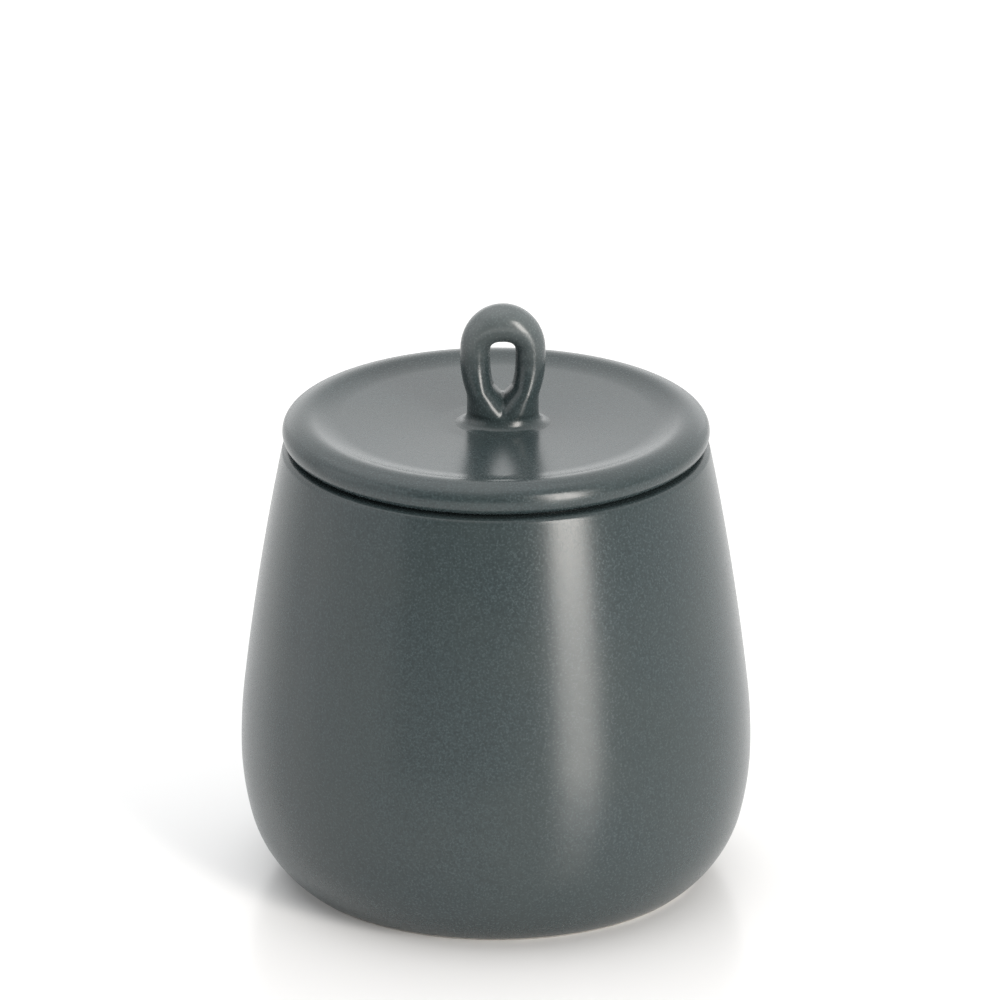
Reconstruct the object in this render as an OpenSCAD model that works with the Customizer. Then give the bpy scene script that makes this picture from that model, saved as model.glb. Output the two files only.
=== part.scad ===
// Stoneware spice jar: a round pot, a loose dished lid and a bent clay loop to lift the lid by.
// Millimetres, +Z up. The origin is on the table, under the middle of the jar.
// The loop's hole runs along Y, so the front of the jar is -Y.

/* [Jar] */
// widest diameter of the jar
body_d = 90.6; // [86:0.2:96]
// height of the rim that the lid rests on
rim_h = 79.4; // [76:0.2:84]
// height of the widest place
belly_h = 24.1; // [23:0.1:26]
// thickness of the wall
wall_t = 4.2; // [3.9:0.1:4.6]
// height of the inside floor above the table
floor_h = 5; // [4.4:0.1:6]
// radius of the curve from the inside floor up into the wall
floor_r = 14; // [11:0.5:16]

/* [Jar outline] */
// radius of the curve just above the widest place
shoulder_r = 96.4; // [88:0.1:105]
// how far that curve turns, in degrees
shoulder_a = 6.5; // [6:0.1:7]
// radius of the almost straight upper wall
upper_r = 504; // [450:1:600]
// radius of the curve just below the widest place
belly_r = 50.6; // [47:0.1:55]
// how far that curve turns, in degrees
belly_a = 14.1; // [13:0.1:15]
// radius of the curve that runs down to the foot
heel_r = 21.2; // [20:0.1:22.4]

/* [Foot and rim] */
// width of the flat ring that the jar stands on
foot_w = 5; // [4:0.1:6]
// depth of the hollow inside that ring
foot_recess = 1.4; // [1:0.1:2]
// rounding between that hollow and the ring
foot_round = 0.6; // [0.4:0.1:0.9]
// rounding of the rim's outer edge
rim_out_r = 1.2; // [1:0.1:1.5]
// rounding of the rim's inner edge
rim_in_r = 1.1; // [0.8:0.1:1.2]

/* [Lid] */
// how far the lid's edge stands out past the line of the jar's wall
lid_over = 0.04; // [0:0.02:0.4]
// thickness of the lid's rounded edge
edge_t = 5.1; // [4.7:0.1:5.5]
// height of the open seam between the lid's edge and the rim
seam_h = 0.3; // [0.2:0.05:0.5]
// how far that seam runs in from the line of the jar's wall
seam_w = 3; // [2.7:0.1:3.3]
// radius of the soft roll along the top of the edge
crest_r = 5.5; // [5:0.1:6.5]
// slope at which that roll turns into the edge, in degrees
edge_turn = 30; // [25:1:35]
// depth of the dish in the lid's top
dish_depth = 1; // [0.8:0.1:1.3]
// width of the slope between the dish and the crest of the edge
dish_slope_w = 6.9; // [6.4:0.1:8]
// gap all round between the flange and the mouth
fit_gap = 0.8; // [0.6:0.1:1]
// depth of the flange under the lid
flange_h = 6.8; // [6.2:0.1:7.8]
// thickness of the flange
flange_t = 3; // [2.6:0.1:3.4]
// rounding of the flange's lower edge
flange_tip_r = 1; // [0.6:0.1:1.2]
// radius of the curve from the lid's underside into the flange
flange_root_r = 1.5; // [1:0.1:2]

/* [Loop] */
// radius of the coil's centre line over the top of the loop
bend_r = 4.85; // [4.7:0.05:5.2]
// length of the upright stretch under the top on each side
side_h = 1.8; // [1.4:0.1:2.2]
// radius of the centre line down each side
side_r = 18.5; // [17.5:0.1:19.5]
// radius of the centre line where a leg turns upright again
ankle_r = 8.1; // [7.5:0.1:9]
// how far each side leans in, in degrees
lean_a = 16; // [15:0.1:17]
// half thickness of the coil at the top
coil_top = 3.35; // [3.1:0.05:3.5]
// half thickness of the coil at the sides
coil_side = 2.65; // [2.5:0.05:2.75]
// half thickness of each leg where it turns upright
coil_leg = 2.5; // [2.4:0.05:2.65]
// how much more the coil's half depth, front to back, is than its half thickness
coil_extra = 0.5; // [0.3:0.05:0.7]
// height above the lid's floor at which the legs start to run together into a stem
fuse_rise = 6.2; // [5.9:0.1:6.5]
// height over which they close the foot of the hole
web_h = 1.6; // [1.4:0.1:1.8]
// height above the lid's floor at which the groove between the legs ends
groove_low = 2.4; // [2.2:0.1:2.6]
// height of the upright stem above its flare
stem_h = 2.75; // [2.5:0.05:3]
// half depth of the stem, front to back
stem_deep = 5; // [4.6:0.1:5.4]
// radius of the flare at the foot of the loop
flare_r = 1.2; // [1:0.1:1.4]
// how far the flare turns towards the lid, in degrees
flare_a = 70; // [60:1:75]
// height of the flare's edge on the lid
flare_edge = 0.2; // [0.15:0.05:0.4]
// how far the loop sits to one side of the lid's middle
loop_shift = 1.2; // [0:0.1:2]

/* [Hidden] */
$fn = 96;
// largest turn of an outline between two of its points, in degrees
arc_step = 3;
// fewest steps in any round stretch
arc_min = 5;
// steps over the top of the loop, down a side, round the ankle, down the stem and down the flare
bend_n = 10;
side_n = 10;
ankle_n = 9;
stem_n = 8;
flare_n = 6;
// points round half of the coil
ring_n = 12;
// shares of the way to one stem that the legs have run together at the foot of the hole and of the groove
web_share = 0.175;
groove_share = 0.5;
// how sharply they bend inwards round the foot of the hole
web_power = 1.5;
// anything nearer the loop's middle plane than this lies on it
on_plane = 1e-6;

body_r = body_d / 2;

// Centres of the jar's outline curves. Each curve leaves the one before along the same line.
shoulder_c = [body_r - shoulder_r, belly_h];
upper_c = shoulder_c + (shoulder_r - upper_r) * [cos(shoulder_a), sin(shoulder_a)];
belly_c = [body_r - belly_r, belly_h];
heel_c = belly_c + (belly_r - heel_r) * [cos(belly_a), -sin(belly_a)];

// Where the heel meets the table.
heel_a = asin(heel_c[1] / heel_r);
foot_r = heel_c[0] + heel_r * cos(heel_a);

// Where the rim's roundings leave the outside and the inside of the wall.
rim_out_a = asin((rim_h - rim_out_r - upper_c[1]) / (upper_r - rim_out_r));
rim_out_c = upper_c + (upper_r - rim_out_r) * [cos(rim_out_a), sin(rim_out_a)];
upper_in_r = upper_r - wall_t;
rim_in_a = asin((rim_h - rim_in_r - upper_c[1]) / (upper_in_r + rim_in_r));
rim_in_c = upper_c + (upper_in_r + rim_in_r) * [cos(rim_in_a), sin(rim_in_a)];
mouth_r = rim_in_c[0] - rim_in_r;

// Where the curve up from the inside floor meets the wall.
belly_in_r = belly_r - wall_t;
floor_a = asin((belly_h - floor_h - floor_r) / (belly_in_r - floor_r));
floor_c = belly_c + (belly_in_r - floor_r) * [cos(floor_a), -sin(floor_a)];

// The lid's edge follows the line of the jar's wall.
wall_top_r = upper_c[0] + upper_r * cos(asin((rim_h - upper_c[1]) / upper_r));
edge_r = edge_t / 2;
edge_c = [wall_top_r + lid_over - edge_r, rim_h + seam_h + edge_r];
seat_r = wall_top_r - seam_w;
crest_c = edge_c + (edge_r - crest_r) * [sin(edge_turn), cos(edge_turn)];
lid_floor_h = crest_c[1] + crest_r - dish_depth;
dish_a = 2 * atan(dish_depth / dish_slope_w);
cove_r = dish_slope_w / sin(dish_a) - crest_r;
cove_c = [crest_c[0] - dish_slope_w, lid_floor_h + cove_r];

// The flange hangs in the mouth.
flange_out = mouth_r - fit_gap;
flange_in = flange_out - flange_t;
flange_low = rim_h - flange_h;

// Heights in the loop, from the lid's floor up.
stem_low = lid_floor_h + flare_edge + flare_r * sin(flare_a);
ankle_h = stem_low + stem_h;
side_top = ankle_h + (ankle_r + side_r) * sin(lean_a);
bend_h = side_top + side_h;
side_c = [bend_r - side_r, side_top];
ankle_c = side_c + (side_r + ankle_r) * [cos(lean_a), -sin(lean_a)];
leg_x = ankle_c[0] - ankle_r;
fuse_h = lid_floor_h + fuse_rise;
web_low = fuse_h - web_h;
groove_h = lid_floor_h + groove_low;
stem_wide = leg_x + coil_leg;

function arc(c, r, a0, a1) =
  let (n = max(arc_min, ceil(abs(a1 - a0) / arc_step)))
  [for (i = [0 : n]) c + r * [cos(a0 + (a1 - a0) * i / n), sin(a0 + (a1 - a0) * i / n)]];

// Outline of the jar from the foot's inner edge, up the outside and down the inside.
jar_outline = concat(
  arc([foot_r - foot_w - foot_round, foot_recess - foot_round], foot_round, 90, 0),
  [[foot_r - foot_w, 0]],
  arc(heel_c, heel_r, -heel_a, -belly_a),
  arc(belly_c, belly_r, -belly_a, 0),
  arc(shoulder_c, shoulder_r, 0, shoulder_a),
  arc(upper_c, upper_r, shoulder_a, rim_out_a),
  arc(rim_out_c, rim_out_r, rim_out_a, 90),
  arc(rim_in_c, rim_in_r, 90, 180 + rim_in_a),
  arc(upper_c, upper_in_r, rim_in_a, shoulder_a),
  arc(shoulder_c, shoulder_r - wall_t, shoulder_a, 0),
  arc(belly_c, belly_in_r, 0, -floor_a),
  arc(floor_c, floor_r, -floor_a, -90),
  [[0, floor_h], [0, foot_recess]]
);

// Outline of the lid from the middle of its dish, round the edge, in along the seam and under the flange.
lid_outline = concat(
  [[0, lid_floor_h]],
  arc(cove_c, cove_r, -90, dish_a - 90),
  arc(crest_c, crest_r, 90 + dish_a, 90 - edge_turn),
  arc(edge_c, edge_r, 90 - edge_turn, -90),
  [[seat_r, rim_h + seam_h], [seat_r, rim_h], [flange_out, rim_h]],
  arc([flange_out - flange_tip_r, flange_low + flange_tip_r], flange_tip_r, 0, -90),
  arc([flange_in + flange_tip_r, flange_low + flange_tip_r], flange_tip_r, -90, -180),
  arc([flange_in - flange_root_r, rim_h - flange_root_r], flange_root_r, 0, 90),
  [[0, rim_h]]
);

// Stations down the right half of the loop: [centre, outward direction, half thickness, half depth],
// the first two in the plane of the loop, as X and height.
function over_top(i) =
  let (a = 90 * i / bend_n)
  let (out = [sin(a), cos(a)])
  let (half = coil_side + (coil_top - coil_side) * pow(cos(a), 2))
  [[0, bend_h] + bend_r * out, out, half, half + coil_extra];

function down_side(i) =
  let (a = lean_a * i / side_n)
  let (out = [cos(a), -sin(a)])
  fused(side_c + side_r * out, out);

function round_ankle(i) =
  let (a = lean_a * (1 - i / ankle_n))
  let (out = [cos(a), -sin(a)])
  fused(ankle_c - ankle_r * out, out);

function down_stem(i) = fused([leg_x, ankle_h - stem_h * i / stem_n], [1, 0]);

function down_flare(i) =
  let (a = flare_a * i / flare_n)
  let (more = flare_r * (1 - cos(a)))
  [[0, stem_low - flare_r * sin(a)], [1, 0], stem_wide + more, stem_deep + more];

// A straight and a smooth step from 0 to 1.
function limit(t) = min(1, max(0, t));
function ease(t) = (3 - 2 * limit(t)) * pow(limit(t), 2);

// How far the legs have run together: round the foot of the hole, down the groove, and all the way under it.
function joined(h) =
  let (hole = pow(limit((fuse_h - h) / web_h), web_power))
  let (groove = limit((web_low - h) / (web_low - groove_h)))
  let (under = ease((groove_h - h) / (groove_h - stem_low)))
  web_share * hole + (groove_share - web_share) * groove + (1 - groove_share) * under;

// The coil thins a little down each side and gets deeper. Where the legs run together, the outer edge
// stays where it is, and the ring widens until its centre is at X = 0.
function fused(c, out) =
  let (half = coil_leg + (coil_side - coil_leg) * ease((c[1] - ankle_h) / (side_top - ankle_h)))
  let (wide = half + c[0] / out[0] * joined(c[1]))
  let (deep = coil_side + coil_extra)
  let (f = ease((side_top - c[1]) / (side_top - stem_low)))
  [c + (half - wide) * out, out, wide, deep + (stem_deep - deep) * f];

flare_end = down_flare(flare_n);
stations = concat(
  [for (i = [0 : bend_n]) over_top(i)],
  [for (i = [0 : side_n]) down_side(i)],
  [for (i = [1 : ankle_n]) round_ankle(i)],
  [for (i = [1 : stem_n]) down_stem(i)],
  [for (i = [1 : flare_n]) down_flare(i)],
  [[[0, lid_floor_h], [1, 0], flare_end[2], flare_end[3]]]
);
station_n = len(stations);
around_n = 2 * ring_n;

// The two legs meet at X = 0. A ring that reaches past it has a point where it crosses.
function reach(s) = s[1][0] > on_plane ? s[0][0] / (s[2] * s[1][0]) : 1;
function cross_a(s) = reach(s) < 1 ? acos(-reach(s)) : 180 - 180 / ring_n;
function turn(s, j) = j < ring_n ? cross_a(s) * j / (ring_n - 1) : 180;
function ring_a(s, j) = j <= ring_n ? turn(s, j) : -turn(s, around_n - j);

function ring_point(s, j) =
  let (a = ring_a(s, j))
  let (flat = s[0] + s[2] * cos(a) * s[1])
  [flat[0] < on_plane ? 0 : flat[0], -s[3] * sin(a), flat[1]];

half_points = [for (s = stations) for (j = [0 : around_n - 1]) ring_point(s, j)];
half_n = len(half_points);

function at(k, j) = k * around_n + j % around_n;

strips = [
  for (k = [0 : station_n - 2])
    for (j = [0 : around_n - 1])
      for (t = [[at(k, j), at(k + 1, j), at(k + 1, j + 1)], [at(k, j), at(k + 1, j + 1), at(k, j + 1)]])
        t
];
sole = [
  for (j = [ring_n + 1 : around_n + ring_n - 2])
    [at(station_n - 1, ring_n), at(station_n - 1, j + 1), at(station_n - 1, j)]
];

// Inside the joined legs there is no surface, so a triangle that lies in the middle plane is left out.
function off_plane(t) = max([for (i = t) half_points[i][0]]) > 0;
half_faces = [for (t = concat(strips, sole)) if (off_plane(t)) t];

loop_points = concat(half_points, [for (p = half_points) [-p[0], p[1], p[2]]]);
loop_faces = concat(half_faces, [for (t = half_faces) [t[2] + half_n, t[1] + half_n, t[0] + half_n]]);

module jar_body() {
  color([0.27, 0.32, 0.32])
    rotate_extrude()
      polygon(jar_outline);
}

module lid() {
  color([0.31, 0.36, 0.36])
    rotate_extrude()
      polygon(lid_outline);
}

module loop_handle() {
  color([0.29, 0.34, 0.34])
    translate([loop_shift, 0, 0])
      polyhedron(points = loop_points, faces = loop_faces);
}

jar_body();
lid();
loop_handle();
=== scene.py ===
"""Looks of a stoneware spice jar: the glazed pot, its loose dished lid and the clay loop on the lid.

The three pieces follow the CAD model's curves at a finer step. Outlines are in millimetres, meshes in
metres. +Z is up and the front is -Y, as in the CAD model."""

import math

import bpy
import numpy as np
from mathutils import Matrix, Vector


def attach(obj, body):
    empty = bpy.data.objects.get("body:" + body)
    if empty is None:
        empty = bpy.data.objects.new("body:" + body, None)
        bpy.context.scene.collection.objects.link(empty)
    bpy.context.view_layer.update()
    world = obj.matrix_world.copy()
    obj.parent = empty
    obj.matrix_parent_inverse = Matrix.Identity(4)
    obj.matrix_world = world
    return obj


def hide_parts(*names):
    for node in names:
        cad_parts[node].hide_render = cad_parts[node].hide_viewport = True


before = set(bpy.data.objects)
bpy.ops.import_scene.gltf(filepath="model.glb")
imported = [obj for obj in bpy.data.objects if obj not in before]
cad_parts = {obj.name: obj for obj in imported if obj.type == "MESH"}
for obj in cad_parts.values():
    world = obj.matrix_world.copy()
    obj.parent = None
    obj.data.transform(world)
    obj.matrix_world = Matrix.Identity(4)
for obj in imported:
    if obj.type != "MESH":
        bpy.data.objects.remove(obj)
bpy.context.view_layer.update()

MM = 0.001
TINY = 1e-6


# Sizes of the CAD model, in millimetres and degrees

body_r = 45.3
rim_h = 79.4
belly_h = 24.1
wall_t = 4.2
floor_h = 5.0
floor_r = 14.0

shoulder_r = 96.4
shoulder_a = 6.5
upper_r = 504.0
belly_r = 50.6
belly_a = 14.1
heel_r = 21.2

foot_w = 5.0
foot_recess = 1.4
foot_round = 0.6
rim_out_r = 1.2
rim_in_r = 1.1

lid_over = 0.04
edge_r = 2.55
seam_h = 0.3
seam_w = 3.0
crest_r = 5.5
edge_turn = 30.0
dish_depth = 1.0
fit_gap = 0.8
flange_h = 6.8
flange_t = 3.0
flange_tip_r = 1.0
flange_root_r = 1.5

bend_r = 4.85
side_h = 1.8
side_r = 18.5
ankle_r = 8.1
lean_a = 16.0
coil_top = 3.35
coil_side = 2.65
coil_leg = 2.5
coil_extra = 0.5
fuse_rise = 6.2
web_h = 1.6
web_share = 0.175
web_power = 1.5
groove_low = 2.4
groove_share = 0.5
stem_h = 2.75
stem_deep = 5.0
flare_r = 1.2
flare_a = 70.0
flare_edge = 0.2
loop_shift = 1.2


# Softer forms that only the scene has, in millimetres and degrees

ease_r = 0.5
root_r = 0.12

# The dish goes on falling gently, past the depth of the CAD model, to the flat that the loop stands on.
dish_sink = 0.45
dish_a = 16.5
flat_r = 9.0
bowl_r = 60.0
bowl_a = 1.6

# The loop's fillet runs on just under the lid's surface, so that the two meet without a step.
crease_w = 0.8
crease_least = 0.01
fillet_w = 2.2
fillet_sunk = 0.003
loop_root = 0.5


# Outlines, as lists of (radius, height)

ARC_TURN = 2
ARC_STEP = 1.2


def sin(a):
    return math.sin(math.radians(a))


def cos(a):
    return math.cos(math.radians(a))


def asin(x):
    return math.degrees(math.asin(x))


def polar(centre, radius, angle):
    return centre[0] + radius * cos(angle), centre[1] + radius * sin(angle)


def arc(centre, radius, start, end):
    """Points along an arc, at most ARC_TURN degrees and ARC_STEP millimetres apart."""
    turn = abs(end - start)
    count = max(4, math.ceil(turn / ARC_TURN), math.ceil(math.radians(turn) * radius / ARC_STEP))
    return [polar(centre, radius, start + (end - start) * i / count) for i in range(count + 1)]


shoulder_c = (body_r - shoulder_r, belly_h)
upper_c = polar(shoulder_c, shoulder_r - upper_r, shoulder_a)
belly_c = (body_r - belly_r, belly_h)
heel_c = polar(belly_c, belly_r - heel_r, -belly_a)
upper_in_r = upper_r - wall_t
belly_in_r = belly_r - wall_t

rim_out_a = asin((rim_h - rim_out_r - upper_c[1]) / (upper_r - rim_out_r))
rim_out_c = polar(upper_c, upper_r - rim_out_r, rim_out_a)
rim_in_a = asin((rim_h - rim_in_r - upper_c[1]) / (upper_in_r + rim_in_r))
rim_in_c = polar(upper_c, upper_in_r + rim_in_r, rim_in_a)
mouth_r = rim_in_c[0] - rim_in_r
floor_a = asin((belly_h - floor_h - floor_r) / (belly_in_r - floor_r))
floor_c = polar(belly_c, belly_in_r - floor_r, -floor_a)

# The foot's outer edge is eased where the heel comes down to the table.
ease_a = asin((heel_c[1] - ease_r) / (heel_r - ease_r))
ease_c = polar(heel_c, heel_r - ease_r, -ease_a)
foot_in = heel_c[0] + heel_r * cos(asin(heel_c[1] / heel_r)) - foot_w


def jar_outline():
    """From the middle of the underside, up the outside, over the rim and down to the middle of the floor."""
    return [
        (0, foot_recess),
        *arc((foot_in - foot_round, foot_recess - foot_round), foot_round, 90, 0),
        *arc((foot_in + ease_r, ease_r), ease_r, 180, 270),
        *arc(ease_c, ease_r, -90, -ease_a),
        *arc(heel_c, heel_r, -ease_a, -belly_a)[1:],
        *arc(belly_c, belly_r, -belly_a, 0)[1:],
        *arc(shoulder_c, shoulder_r, 0, shoulder_a)[1:],
        *arc(upper_c, upper_r, shoulder_a, rim_out_a)[1:],
        *arc(rim_out_c, rim_out_r, rim_out_a, 90)[1:],
        *arc(rim_in_c, rim_in_r, 90, 180 + rim_in_a),
        *arc(upper_c, upper_in_r, rim_in_a, shoulder_a)[1:],
        *arc(shoulder_c, shoulder_r - wall_t, shoulder_a, 0)[1:],
        *arc(belly_c, belly_in_r, 0, -floor_a)[1:],
        *arc(floor_c, floor_r, -floor_a, -90)[1:],
        (0, floor_h),
    ]


wall_top_r = upper_c[0] + upper_r * cos(asin((rim_h - upper_c[1]) / upper_r))
edge_c = (wall_top_r + lid_over - edge_r, rim_h + seam_h + edge_r)
seat_r = wall_top_r - seam_w
crest_c = polar(edge_c, edge_r - crest_r, 90 - edge_turn)
lid_floor_h = crest_c[1] + crest_r - dish_depth
flange_out = mouth_r - fit_gap
flange_in = flange_out - flange_t
flange_low = rim_h - flange_h

# The cove's radius is the one that joins the bowl's slope to the crest's slope.
dish_h = lid_floor_h - dish_sink
bowl_c = (flat_r, dish_h + bowl_r)
run = crest_c[0] - flat_r - bowl_r * sin(bowl_a) - crest_r * sin(dish_a)
fall = crest_c[1] + crest_r - dish_h - bowl_r * (1 - cos(bowl_a)) - crest_r * (1 - cos(dish_a))
cove_r = (fall * cos(bowl_a) - run * sin(bowl_a)) / (1 - cos(dish_a - bowl_a))
cove_c = polar(crest_c, crest_r + cove_r, 90 + dish_a)


def lid_outline():
    """From the middle of the dish, round the edge, in along the seam and round the flange to the middle."""
    return [
        (0, dish_h),
        *arc(bowl_c, bowl_r, -90, bowl_a - 90),
        *arc(cove_c, cove_r, bowl_a - 90, dish_a - 90),
        *arc(crest_c, crest_r, 90 + dish_a, 90 - edge_turn)[1:],
        *arc(edge_c, edge_r, 90 - edge_turn, -90)[1:],
        *arc((seat_r + root_r, rim_h + seam_h - root_r), root_r, 90, 180),
        *arc((seat_r - root_r, rim_h + root_r), root_r, 0, -90),
        *arc((flange_out + ease_r, rim_h - ease_r), ease_r, 90, 180),
        *arc((flange_out - flange_tip_r, flange_low + flange_tip_r), flange_tip_r, 0, -90),
        *arc((flange_in + flange_tip_r, flange_low + flange_tip_r), flange_tip_r, -90, -180),
        *arc((flange_in - flange_root_r, rim_h - flange_root_r), flange_root_r, 0, 90),
        (0, rim_h),
    ]


# Meshes

SHARP_A = 50


def placed(name, data):
    """A new object in the scene."""
    obj = bpy.data.objects.new(name, data)
    bpy.context.scene.collection.objects.link(obj)
    return obj


def piece(name, points, faces, material, body, node, slot):
    """A smooth mesh that stands for a CAD node and moves with its body."""
    mesh = bpy.data.meshes.new(name)
    mesh.from_pydata(points, [], faces)
    mesh.validate()
    mesh.shade_smooth()
    mesh.set_sharp_from_angle(angle=math.radians(SHARP_A))
    mesh.materials.append(material)
    obj = placed(name, mesh)
    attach(obj, body)
    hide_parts(node)


def lathe(outline, count=240):
    """Points in metres and faces of an outline turned about Z.

    The outline starts and ends on the axis, and goes up the outside."""
    angles = [2 * math.pi * i / count for i in range(count)]
    points = [(0, 0, outline[0][1] * MM)]
    for r, z in outline[1:-1]:
        points += [(r * MM * math.cos(a), r * MM * math.sin(a), z * MM) for a in angles]
    points.append((0, 0, outline[-1][1] * MM))
    rings = len(outline) - 2
    last = len(points) - 1
    faces = []
    for i in range(count):
        j = (i + 1) % count
        faces.append((0, 1 + j, 1 + i))
        for k in range(rings - 1):
            low, high = 1 + k * count, 1 + (k + 1) * count
            faces.append((low + i, low + j, high + j, high + i))
        top = 1 + (rings - 1) * count
        faces.append((top + i, top + j, last))
    return points, faces


# The loop, as the zero level of a distance field

stem_low = lid_floor_h + flare_edge + flare_r * sin(flare_a)
ankle_h = stem_low + stem_h
side_top = ankle_h + (ankle_r + side_r) * sin(lean_a)
bend_h = side_top + side_h
loop_top = bend_h + bend_r + coil_top
fuse_h = lid_floor_h + fuse_rise
groove_h = lid_floor_h + groove_low
side_x = bend_r - side_r
ankle_x = side_x + (side_r + ankle_r) * cos(lean_a)

# Half of the patch of lid that holds the loop and its fillet
patch_x = 12.25
patch_y = 8.25


def ease(t):
    t = np.clip(t, 0, 1)
    return (3 - 2 * t) * t * t


def joined(height):
    """How far the legs have run together.

    They close round the foot of the hole, go on down the groove and are one under it."""
    hole = np.clip((fuse_h - height) / web_h, 0, 1) ** web_power
    groove = np.clip((fuse_h - web_h - height) / (fuse_h - web_h - groove_h), 0, 1)
    under = ease((groove_h - height) / (groove_h - stem_low))
    return web_share * hole + (groove_share - web_share) * groove + (1 - groove_share) * under


def oval(u, v, wide, deep):
    """Distance, to the first order, from an oval with these half sizes."""
    radius = np.hypot(u / wide, v / deep)
    slope = np.hypot(u / wide**2, v / deep**2)
    return radius * (radius - 1) / np.maximum(slope, TINY)


def over_top(x, y, z):
    """Distance to the bend over the top of the loop."""
    reach = np.hypot(x, z - bend_h)
    half = coil_side + (coil_top - coil_side) * ((z - bend_h) / np.maximum(reach, TINY)) ** 2
    return oval(reach - bend_r, y, half, half + coil_extra)


def right_leg(x, y, z):
    """Distance to the right leg, which leans in, turns upright and widens until it is half of the stem."""
    lean = math.radians(lean_a)
    on_side = np.maximum(np.arctan2(side_top - z, x - side_x), 0)
    on_ankle = np.maximum(np.arctan2(z - ankle_h, ankle_x - x), 0)
    low = on_side > lean
    turn = np.where(low, np.minimum(on_ankle, lean), on_side)
    from_side = np.hypot(x - side_x, np.minimum(z - side_top, 0)) - side_r
    from_ankle = ankle_r - np.hypot(ankle_x - x, np.maximum(z - ankle_h, 0))
    across = np.where(low, from_ankle, from_side)
    middle = np.where(low, ankle_x - ankle_r * np.cos(turn), side_x + side_r * np.cos(turn))
    ankle_z = np.minimum(z, ankle_h) + ankle_r * np.sin(turn)
    height = np.where(low, ankle_z, side_top - side_r * np.sin(turn))
    half = coil_leg + (coil_side - coil_leg) * ease((height - ankle_h) / (side_top - ankle_h))
    wide = half + middle / np.cos(turn) * joined(height)
    coil_deep = coil_side + coil_extra
    deep = coil_deep + (stem_deep - coil_deep) * ease((side_top - height) / (side_top - stem_low))
    return oval(across - half + wide, y, wide, deep)


def soft_min(a, b, width):
    """The lower of two distances, rounded off where they are nearly the same."""
    return np.minimum(a, b) - np.maximum(width - np.abs(a - b), 0) ** 2 / (4 * width)


def loop_field(p):
    """Distance to the loop and to the fillet round its foot, and to the same cut off inside the lid."""
    x, y, z = p[..., 0], p[..., 1], p[..., 2]
    crease = crease_w * (1 - joined(z)) + crease_least
    legs = soft_min(right_leg(x, y, z), right_leg(-x, y, z), crease)
    legs = np.where(z > bend_h, over_top(x, y, z), legs)
    shape = soft_min(legs, z - (dish_h - fillet_sunk), fillet_w)
    cut = np.maximum(legs - fillet_w, dish_h - loop_root - z)
    return shape, np.maximum(shape, cut)


def surface_net(field, origin, step):
    """Points and quads round the zero level of a field on a grid.

    Each cell that the level crosses gets one point."""
    inside = field < 0
    cells = tuple(n - 1 for n in field.shape)
    place = np.zeros(cells + (3,))
    hits = np.zeros(cells)
    corners = [(i, j, k) for i in (0, 1) for j in (0, 1) for k in (0, 1)]
    part = {c: field[tuple(slice(o, o + n) for o, n in zip(c, cells))] for c in corners}
    for a in corners:
        for axis in range(3):
            if a[axis]:
                continue
            b = tuple(1 if n == axis else a[n] for n in range(3))
            crossed = (part[a] < 0) != (part[b] < 0)
            share = np.where(crossed, part[a] / np.where(crossed, part[a] - part[b], 1), 0)
            hits += crossed
            for n in range(3):
                place[..., n] += crossed * (share if n == axis else a[n])
    used = hits > 0
    index = np.full(cells, -1)
    index[used] = np.arange(used.sum())
    points = origin + step * (np.argwhere(used) + place[used] / hits[used][:, None])
    quads = []
    for axis in range(3):
        u, v = (axis + 1) % 3, (axis + 2) % 3
        ahead = np.roll(inside, -1, axis)
        for cell in np.argwhere(inside != ahead):
            if min(cell[u], cell[v]) < 1 or cell[axis] >= cells[axis]:
                continue
            around = []
            for du, dv in ((-1, -1), (0, -1), (0, 0), (-1, 0)):
                c = cell.copy()
                c[u] += du
                c[v] += dv
                around.append(int(index[tuple(c)]))
            quads.append(around if inside[tuple(cell)] else around[::-1])
    return points, quads


def settle(points, quads, rounds=3, pushes=2, nudge=0.01, margin=0.1):
    """Evens the points out and puts each one back on the loop's surface.

    Points more than a margin below the dish stay where they are."""
    edges = np.array([(q[i], q[(i + 1) % 4]) for q in quads for i in range(4)])
    count = np.bincount(edges.ravel(), minlength=len(points))[:, None]
    for _ in range(rounds):
        total = np.zeros_like(points)
        np.add.at(total, edges[:, 0], points[edges[:, 1]])
        np.add.at(total, edges[:, 1], points[edges[:, 0]])
        shape, cut = loop_field(points)
        shown = (cut - shape < 1e-9) & (points[:, 2] > dish_h - margin)
        moved = np.where(shown[:, None], 0.5 * points + 0.5 * total / count, points)
        for _ in range(pushes):
            value = loop_field(moved)[0]
            slope = np.stack([(loop_field(moved + d)[0] - value) / nudge for d in np.eye(3) * nudge], -1)
            push = slope * (value / np.maximum((slope**2).sum(-1), TINY))[:, None]
            moved = np.where(shown[:, None], moved - push, moved)
        points = moved
    return points


def loop_mesh(step=0.25):
    """Points in metres and faces of the loop, with the fillet that runs out onto the lid."""
    low = np.array((-patch_x, -patch_y, dish_h - loop_root - 2 * step))
    high = np.array((patch_x, patch_y, loop_top + 3 * step))
    axes = [low[n] + step * np.arange(math.ceil((high[n] - low[n]) / step) + 1) for n in range(3)]
    grid = np.stack(np.meshgrid(*axes, indexing="ij"), -1)
    points, quads = surface_net(loop_field(grid)[1], low, step)
    points = settle(points, quads) + (loop_shift, 0, 0)
    return (points * MM).tolist(), quads


# Materials

TONE = (0.031, 0.045, 0.048)
THIN_GLAZE_AND_TOP_LIGHT = (0.36, 0.39, 0.39, 1)
SPECK = (0.34, 0.37, 0.37, 1)
DARK_CLAY = (0.32, 0.31, 0.29, 1)
PALE_CLAY = (0.43, 0.417, 0.392, 1)
WHITE = (0.91, 0.91, 0.91, 1)

# Repeats per metre
CLOUDS = 55
PEEL = 420
CELLS = 760
GRIT = 900
GRAIN = 2600
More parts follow.
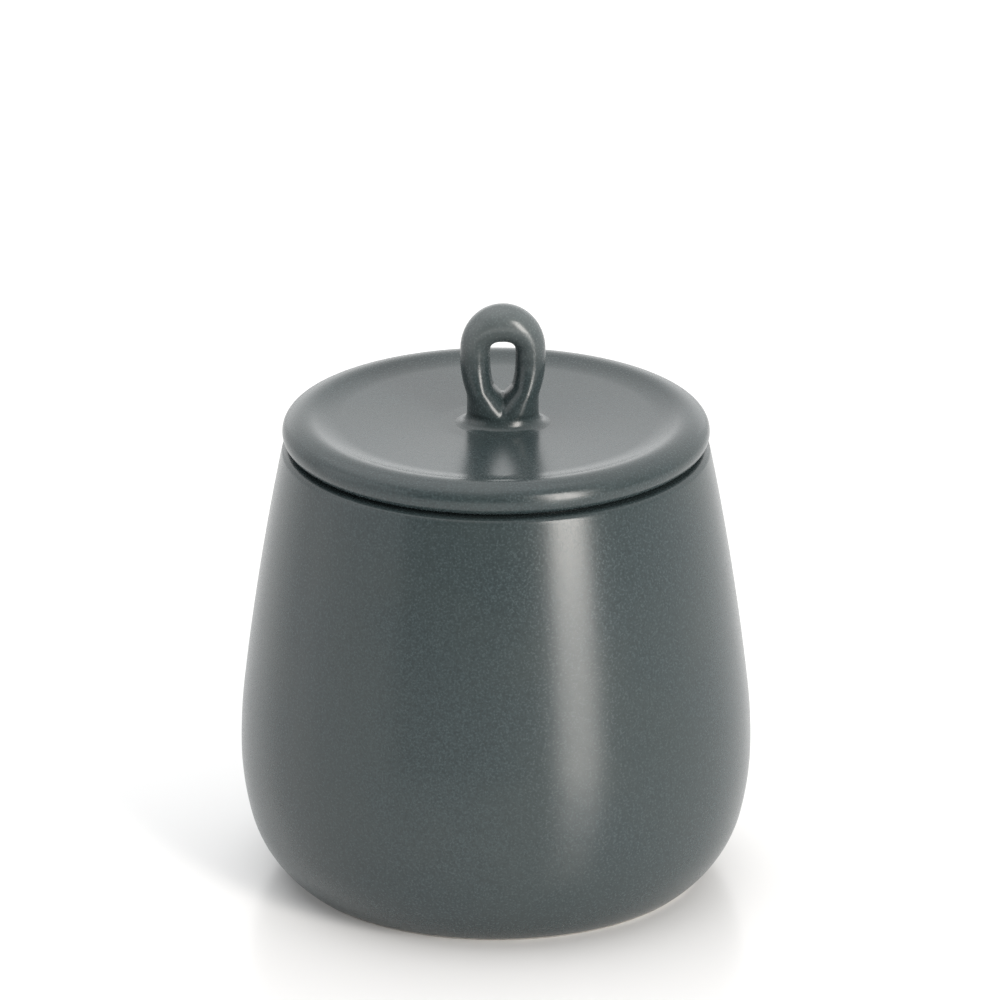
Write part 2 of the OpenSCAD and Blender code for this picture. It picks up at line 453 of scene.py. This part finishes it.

# Heights between which the loop's crown is painted paler, partly thinner glaze and partly painted light from
# above, and the edge of the raw clay on the land
crown_low = rim_h + 14
crown_high = rim_h + 23
land_out = 34.2
land_full = 33.9


class Nodes:
    """Adds and links the nodes of one material or world."""

    def __init__(self, owner):
        owner.use_nodes = True
        self.tree = owner.node_tree
        self.tree.nodes.clear()

    def node(self, kind, inputs, **settings):
        made = self.tree.nodes.new(kind)
        for key, value in settings.items():
            setattr(made, key, value)
        for key, value in inputs.items():
            if isinstance(value, bpy.types.NodeSocket):
                self.tree.links.new(value, made.inputs[key])
            else:
                made.inputs[key].default_value = value
        return made

    def math(self, operation, a, b=0.0, c=0.0):
        return self.node("ShaderNodeMath", {0: a, 1: b, 2: c}, operation=operation).outputs[0]

    def ramp(self, value, low, high, to_low=0.0, to_high=1.0):
        inputs = {0: value, 1: low, 2: high, 3: to_low, 4: to_high}
        return self.node("ShaderNodeMapRange", inputs, interpolation_type="SMOOTHSTEP").outputs[0]

    def mix(self, factor, a, b):
        inputs = {"Factor": factor, 6: a, 7: b}
        return self.node("ShaderNodeMix", inputs, data_type="RGBA").outputs[2]

    def noise(self, where, scale, detail=2.0):
        inputs = {"Vector": where, "Scale": scale, "Detail": detail}
        return self.node("ShaderNodeTexNoise", inputs).outputs[0]

    def coordinates(self, kind):
        """Coordinates of a kind, and the same split into X, Y and Z."""
        where = self.node("ShaderNodeTexCoord", {}).outputs[kind]
        return where, self.node("ShaderNodeSeparateXYZ", {0: where}).outputs


def tint(tone, red, green, blue):
    """A tone with each channel multiplied, as an opaque colour."""
    return tone[0] * red, tone[1] * green, tone[2] * blue, 1


def glaze(name, tone, specks, bare):
    """Satin grey-green glaze with a fine grain and a few pale specks, paler over the loop's crown from
    thinner glaze and painted light from above.

    specks is the strength of the specks, and bare(nodes, radius, height) is 1 on raw clay."""
    material = bpy.data.materials.new(name)
    s = Nodes(material)
    where, xyz = s.coordinates("Object")
    radius = s.math("SQRT", s.math("ADD", s.math("POWER", xyz[0], 2), s.math("POWER", xyz[1], 2)))
    clay = bare(s, radius, xyz[2])

    grain = s.noise(where, GRAIN, 3)
    colour = s.mix(s.ramp(grain, 0.34, 0.66), tint(tone, 0.74, 0.74, 0.74), tint(tone, 1.26, 1.26, 1.26))
    cloud = s.ramp(s.noise(where, CLOUDS, 3), 0.35, 0.7, 0, 0.35)
    colour = s.mix(cloud, colour, tint(tone, 1.22, 1.1, 1))
    # Painted light: the loop's crown turns paler by height alone, partly for thinner glaze and partly as
    # light from above painted into the colour.
    crown = s.ramp(xyz[2], crown_low * MM, crown_high * MM, 0, 0.17)
    colour = s.mix(crown, colour, THIN_GLAZE_AND_TOP_LIGHT)
    cells = s.node("ShaderNodeTexVoronoi", {"Vector": where, "Scale": CELLS})
    draw = s.node("ShaderNodeSeparateColor", {0: cells.outputs["Color"]}).outputs[0]
    dot = s.ramp(cells.outputs["Distance"], 0.14, 0.04)
    speck = s.math("MULTIPLY", dot, s.ramp(draw, 0.8, 1.0))
    colour = s.mix(s.math("MULTIPLY", speck, specks), colour, SPECK)

    raw = s.mix(s.ramp(s.noise(where, GRIT, 4), 0.35, 0.65), DARK_CLAY, PALE_CLAY)
    colour = s.mix(clay, colour, raw)
    gloss = s.ramp(grain, 0.25, 0.75, 0.21, 0.29)
    rough = s.node("ShaderNodeMix", {"Factor": clay, 2: gloss, 3: 0.85}, data_type="FLOAT").outputs[0]

    peel = s.noise(where, PEEL, 2)
    height = s.math("ADD", s.math("MULTIPLY", peel, 0.7), s.math("MULTIPLY", grain, 0.3))
    bump = s.node("ShaderNodeBump", {"Strength": 0.35, "Distance": 0.00002, "Height": height}).outputs[0]
    skin = {"Base Color": colour, "Roughness": rough, "IOR": 1.5, "Normal": bump}
    skin = s.node("ShaderNodeBsdfPrincipled", skin)
    s.node("ShaderNodeOutputMaterial", {0: skin.outputs[0]})
    return material


def jar_clay(s, radius, height):
    """Raw clay on the foot and on the land of the rim that the lid rests on."""
    foot = s.ramp(height, 0.55 * MM, 0.4 * MM)
    top = s.ramp(height, (rim_h - 0.12) * MM, (rim_h - 0.04) * MM)
    land = s.math("MULTIPLY", top, s.ramp(radius, land_out * MM, land_full * MM))
    return s.math("MAXIMUM", foot, land)


def lid_clay(s, radius, height):
    """Raw clay on the seat and down the outside of the flange."""
    under = s.ramp(height, (rim_h + 0.06) * MM, (rim_h + 0.02) * MM)
    seat = s.math("MULTIPLY", under, s.ramp(radius, land_out * MM, land_full * MM))
    return s.math("MULTIPLY", seat, s.ramp(radius, (flange_in + 0.8) * MM, (flange_in + 1.1) * MM))


jar_glaze = glaze("jar_glaze", TONE, 0.07, jar_clay)
lid_glaze = glaze("lid_glaze", TONE, 0.06, lid_clay)

# The lid's outline starts on top, so it is turned the other way round.
piece("jar_pot", *lathe(jar_outline()), jar_glaze, "jar", "jar_body", "jar_glaze")
piece("lid_disc", *lathe(lid_outline()[::-1]), lid_glaze, "lid", "lid", "lid_glaze")
piece("lid_loop", *loop_mesh(), lid_glaze, "lid", "loop_handle", "lid_glaze")


# Stage: a white table, a soft studio and the camera of the photograph, in metres and degrees

# Watts that give a square metre of lamp a radiance of 1
LAMP_WATTS = 4
WARM = (1.0, 0.955, 0.91)


def facing(place, aim):
    """The turn that points a lamp or a camera at a place towards a point."""
    return (Vector(aim) - Vector(place)).to_track_quat("-Z", "Y").to_euler()


def table(half=6.0):
    """A satin white table under the jar."""
    material = bpy.data.materials.new("table_white")
    s = Nodes(material)
    where, _ = s.coordinates("Object")
    rough = s.ramp(s.noise(where, 4, 2), 0.3, 0.7, 0.18, 0.22)
    top = s.node("ShaderNodeBsdfPrincipled", {"Base Color": WHITE, "Roughness": rough})
    s.node("ShaderNodeOutputMaterial", {0: top.outputs[0]})
    mesh = bpy.data.meshes.new("table")
    corners = [(-half, -half, 0), (half, -half, 0), (half, half, 0), (-half, half, 0)]
    mesh.from_pydata(corners, [], [(0, 1, 2, 3)])
    mesh.materials.append(material)
    obj = placed("table", mesh)


def lamp(name, place, aim, width, height, radiance, colour=(1, 1, 1)):
    """A flat light at a place, facing a point."""
    light = bpy.data.lights.new(name, "AREA")
    light.shape = "RECTANGLE"
    light.size = width
    light.size_y = height
    light.energy = LAMP_WATTS * radiance * width * height
    light.color = colour
    obj = placed(name, light)
    obj.location = place
    obj.rotation_euler = facing(place, aim)


def upright(name, azimuth, distance, low, width, height, radiance, colour=(1, 1, 1)):
    """A light that stands and faces the jar.

    Azimuth 0 is the camera's side, and positive angles go to its right."""
    middle = low + height / 2
    place = (distance * sin(azimuth), -distance * cos(azimuth), middle)
    lamp(name, place, (0, 0, middle), width, height, radiance, colour)


def studio(lift=0.75, dark=0.12, bright=1.55):
    """White above and behind the jar, greyer behind the camera."""
    world = bpy.data.worlds.new("studio")
    s = Nodes(world)
    _, xyz = s.coordinates("Generated")
    height = s.math("MULTIPLY_ADD", xyz[2], lift, xyz[1])
    background = s.node("ShaderNodeBackground", {1: s.ramp(height, -0.75, 1.05, dark, bright)})
    s.node("ShaderNodeOutputWorld", {0: background.outputs[0]})
    bpy.context.scene.world = world


def camera(target, elevation, distance, lens):
    """The camera, in front of the target and above it."""
    cam = bpy.data.cameras.new("camera")
    cam.sensor_width = 36
    cam.lens = lens
    cam.clip_start = 0.1
    cam.clip_end = 50
    obj = placed("camera", cam)
    obj.location = Vector(target) + distance * Vector((0, -cos(elevation), sin(elevation)))
    obj.rotation_euler = facing(obj.location, target)
    bpy.context.scene.camera = obj


table()
studio()
lamp("overhead", place=(-0.4, 0.2, 1.25), aim=(-0.1, 0.05, 0), width=1.4, height=1.4, radiance=0.4)
upright("strip_right", 36.8, distance=1.1, low=0.02, width=0.34, height=1.0, radiance=11.9, colour=WARM)
upright("panel_left", -75, distance=1.2, low=0.02, width=1.3, height=0.9, radiance=0.6)
upright("panel_back", 180, distance=1.5, low=0.12, width=1.6, height=0.48, radiance=0.4)
camera(target=(0.0007, 0, 0.069), elevation=20.66, distance=1.7647, lens=360)
bpy.context.scene.view_settings.view_transform = "Standard"
